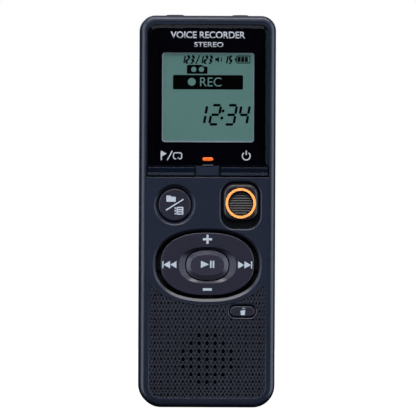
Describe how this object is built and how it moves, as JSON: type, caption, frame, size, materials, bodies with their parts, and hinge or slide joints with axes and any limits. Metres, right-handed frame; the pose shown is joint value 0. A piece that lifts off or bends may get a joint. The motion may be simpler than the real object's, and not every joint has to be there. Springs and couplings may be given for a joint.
{
  "type": "handheld voice recorder",
  "caption": "Pocket voice recorder: dark case with a display window, keypad, oval control pad, sliding record switch, speaker grille, top jacks and a sliding battery cover.",
  "frame": {"origin": "centre of the bounding box's footprint, at the bottom end of the case", "axes": "+Z towards the jack end, -Y out of the display, +X to the right of the display"},
  "size_m": [0.0374, 0.0174, 0.1083],
  "materials": {
    "case_plastic": "satin blue-grey black",
    "window": "polished",
    "black_print": "printed black",
    "key_plastic": "satin",
    "accent_ring": "polished orange",
    "lamp": "frosted amber",
    "led_chip": "clear resin",
    "frame_plastic": "moulded",
    "lcd_glass": "polished",
    "lcd_back": "reflective grey-green",
    "rubber": "matt",
    "spring_steel": "nickel plated",
    "board": "solder mask",
    "chip": "moulded epoxy",
    "capacitor": "ceramic",
    "speaker_steel": "zinc plated",
    "speaker_paper": "film",
    "copper": "enamelled wire",
    "red_wire": "insulated",
    "black_wire": "insulated",
    "cell_jacket": "printed jacket",
    "screw": "black zinc"
  },
  "bodies": {
    "root_case": {"front_case": "case_plastic", "rear_case": "case_plastic", "display_window": "window", "window_mask": "black_print", "lcd_frame": "frame_plastic", "lcd_front_polarizer": "lcd_glass", "lcd_front_glass": "lcd_glass", "lcd_rear_glass": "lcd_glass", "lcd_reflector": "lcd_back", "lcd_contact_strip": "rubber", "record_lamp": "lamp", "record_led": "led_chip", "keypad_sheet": "rubber", "dome_switches": "spring_steel", "slide_switch_body": "frame_plastic", "main_board": "board", "audio_processor": "chip", "flash_memory": "chip", "crystal_can": "spring_steel", "board_capacitors": "capacitor", "mic_jack": "frame_plastic", "ear_jack": "frame_plastic", "jack_contacts": "spring_steel", "usb_socket": "spring_steel", "usb_tongue": "frame_plastic", "microphone": "spring_steel", "microphone_boot": "rubber", "speaker_gasket": "rubber", "speaker_frame": "speaker_steel", "speaker_cone": "speaker_paper", "speaker_voice_coil": "copper", "speaker_magnet": "speaker_steel", "speaker_lead_red": "red_wire", "speaker_lead_black": "black_wire", "battery_cell_left": "cell_jacket", "battery_cell_right": "cell_jacket", "battery_springs": "spring_steel", "bridge_contact": "spring_steel", "positive_terminal": "spring_steel", "negative_terminal": "spring_steel", "case_screws": "screw"},
    "index_key": {"index_button": "key_plastic", "index_key_boss": "rubber"},
    "power_key": {"power_button": "key_plastic", "power_key_boss": "rubber"},
    "menu_key": {"menu_button": "key_plastic", "menu_key_boss": "rubber"},
    "erase_key": {"erase_button": "key_plastic", "erase_key_boss": "rubber"},
    "play_key": {"play_button": "key_plastic", "play_key_boss": "rubber"},
    "dpad_rocker": {"dpad_rocker_plate": "frame_plastic"},
    "dpad": {"dpad_ring": "key_plastic", "dpad_side_bosses": "rubber"},
    "record_slide": {"rec_slider": "key_plastic", "rec_slider_ring": "accent_ring", "rec_slider_clip": "frame_plastic", "slide_switch_lever": "frame_plastic"},
    "cover": {"battery_cover": "case_plastic"}
  },
  "joints": [
    {"name": "index_press", "type": "slide", "parent": "root_case", "child": "index_key", "axis": [0, 1, 0], "range_m": [0, 0.00035], "stiffness_N_per_m": 300},
    {"name": "power_press", "type": "slide", "parent": "root_case", "child": "power_key", "axis": [0, 1, 0], "range_m": [0, 0.00035], "stiffness_N_per_m": 300},
    {"name": "menu_press", "type": "slide", "parent": "root_case", "child": "menu_key", "axis": [0, 1, 0], "range_m": [0, 0.00035], "stiffness_N_per_m": 300},
    {"name": "erase_press", "type": "slide", "parent": "root_case", "child": "erase_key", "axis": [0, 1, 0], "range_m": [0, 0.00035], "stiffness_N_per_m": 300},
    {"name": "play_press", "type": "slide", "parent": "root_case", "child": "play_key", "axis": [0, 1, 0], "range_m": [0, 0.00035], "stiffness_N_per_m": 300},
    {"name": "dpad_tilt_up_down", "type": "hinge", "parent": "root_case", "child": "dpad_rocker", "pos_m": [0, -0.00635, 0.0392], "axis": [1, 0, 0], "range_deg": [-2.2, 2.2], "stiffness_Nm_per_rad": 0.03},
    {"name": "dpad_tilt_left_right", "type": "hinge", "parent": "dpad_rocker", "child": "dpad", "pos_m": [0, -0.00635, 0.0392], "axis": [0, 0, 1], "range_deg": [-1.5, 1.5], "stiffness_Nm_per_rad": 0.03},
    {"name": "record_slide_travel", "type": "slide", "parent": "root_case", "child": "record_slide", "axis": [0, 0, -1], "range_m": [0, 0.0019]},
    {"name": "cover_slide", "type": "slide", "parent": "root_case", "child": "cover", "axis": [0, 0, -1], "range_m": [0, 0.08]}
  ]
}
